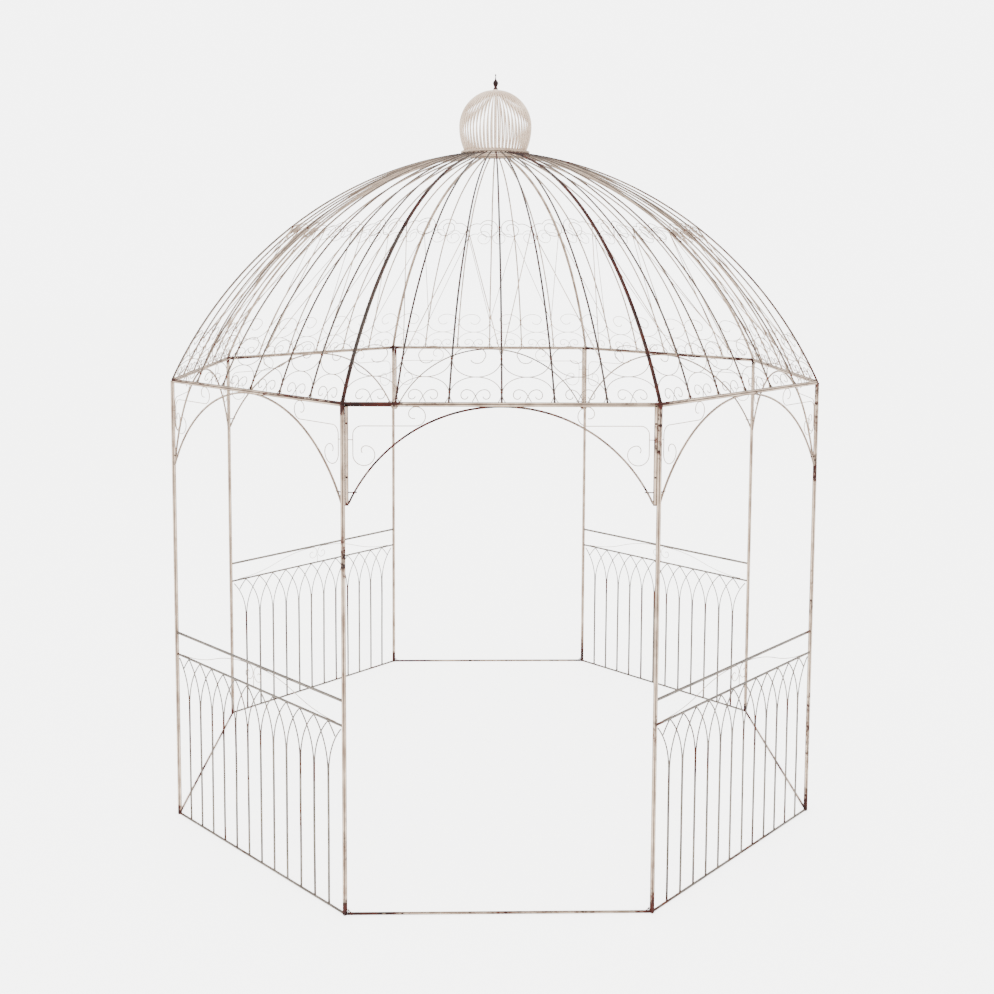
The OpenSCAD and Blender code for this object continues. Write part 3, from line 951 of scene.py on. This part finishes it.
def finialPiece():
    low, high = finialLow[2], finialHigh[2]
    reach = finialHigh[0]
    shape = np.array([
        [0.02, 0], [0.86, 0], [0.88, 0.03], [0.62, 0.09], [0.52, 0.16], [0.72, 0.25],
        [0.98, 0.36], [1.0, 0.42], [0.78, 0.52], [0.42, 0.6], [0.22, 0.68], [0.15, 0.86],
        [0.26, 0.91], [0.30, 0.95], [0.2, 0.99], [0.02, 1],
    ]) * [reach, high - low]
    # Closely spaced points, averaged with their neighbours, round the turned outline
    run = np.concatenate([[0], np.cumsum(np.linalg.norm(np.diff(shape, axis=0), axis=1))])
    t = np.linspace(0, run[-1], 90)
    line = np.stack([np.interp(t, run, shape[:, 0]), np.interp(t, run, shape[:, 1])], 1)
    line[1:-1] = (line[:-2] + line[1:-1] * 2 + line[2:]) / 4
    part = turned(line + [0, low], around=28, rust=0.5, grimeAndShade=0.5)
    return makePiece("finial_iron", [part], [finialRust], "rusted_iron", "finial")


neckPiece()
ballPiece()
finialPiece()
print("top done")

# The lens sees paper and sky brighter than the light they throw on the ironwork
stage = {
    "floorHalf": 60.0, "floor": "#FAFAF9", "sky": "#F7F7F7", "strength": 3.5,
    "seenSky": 6.4, "seenFloor": 2.9,
}
floorMesh = bpy.data.meshes.new("floor")
h = stage["floorHalf"]
floorMesh.from_pydata([(-h, -h, 0), (h, -h, 0), (h, h, 0), (-h, h, 0)], [], [(0, 1, 2, 3)])
floor = bpy.data.objects.new("floor", floorMesh)
bpy.context.scene.collection.objects.link(floor)
paleFloor = bpy.data.materials.new("paleFloor")  # matt studio paper
paleFloor.use_nodes = True
paper = paleFloor.node_tree.nodes["Principled BSDF"]
paper.inputs["Base Color"].default_value = linear(stage["floor"])
paper.inputs["Roughness"].default_value = 0.9
paper.inputs["Emission Color"].default_value = linear(stage["floor"])
paperTree = paleFloor.node_tree
toLens = addNode(paperTree, "ShaderNodeLightPath").outputs["Is Camera Ray"]
glow = addNode(paperTree, "ShaderNodeMapRange", {"To Max": stage["seenFloor"]}, {"Value": toLens})
paperTree.links.new(glow.outputs["Result"], paper.inputs["Emission Strength"])
floorMesh.materials.append(paleFloor)

world = bpy.data.worlds.new("studio")
bpy.context.scene.world = world
world.use_nodes = True
sky = world.node_tree.nodes["Background"]
sky.inputs["Color"].default_value = linear(stage["sky"])
toLens = addNode(world.node_tree, "ShaderNodeLightPath").outputs["Is Camera Ray"]
skyRange = {"To Min": stage["strength"], "To Max": stage["seenSky"]}
glow = addNode(world.node_tree, "ShaderNodeMapRange", skyRange, {"Value": toLens})
world.node_tree.links.new(glow.outputs["Result"], sky.inputs["Strength"])


def areaLight(name, place, aim, size, power):
    light = bpy.data.lights.new(name, "AREA")
    light.shape, light.size, light.energy = "DISK", size, power
    lamp = bpy.data.objects.new(name, light)
    bpy.context.scene.collection.objects.link(lamp)
    lamp.location = place
    towards = np.array(aim, float) - np.array(place, float)
    z = -unit(towards)
    x = unit(np.cross([0, 0, 1], z))
    y = np.cross(z, x)
    lamp.rotation_euler = Matrix(np.stack([x, y, z], 1).tolist()).to_euler()


areaLight("keyLight", (-4.5, -6.0, 6.5), (0, 0, 1.6), 5.0, 240)
areaLight("fillLight", (6.0, -4.0, 4.0), (0, 0, 1.8), 5.0, 90)

# Place in post-circle radii; heading, pitch and roll in degrees; shift lowers the middle of the view
camera = {
    "lens": 42.37, "sensor": 36.0, "shift": -0.14, "place": (-0.0755, -3.7161, 1.622),
    "pitch": 4.73, "heading": -1.30, "roll": 0.30, "reach": 200,
}
lens = bpy.data.cameras.new("camera")
lens.lens, lens.sensor_width, lens.shift_y = camera["lens"], camera["sensor"], camera["shift"]
lens.clip_end = camera["reach"]
viewer = bpy.data.objects.new("camera", lens)
bpy.context.scene.collection.objects.link(viewer)
viewer.matrix_world = (
    Matrix.Translation([v * cornerR for v in camera["place"]])
    @ Matrix.Rotation(math.radians(camera["heading"]), 4, "Z")
    @ Matrix.Rotation(math.radians(90 - camera["pitch"]), 4, "X")
    @ Matrix.Rotation(math.radians(camera["roll"]), 4, "Z")
)
bpy.context.scene.camera = viewer
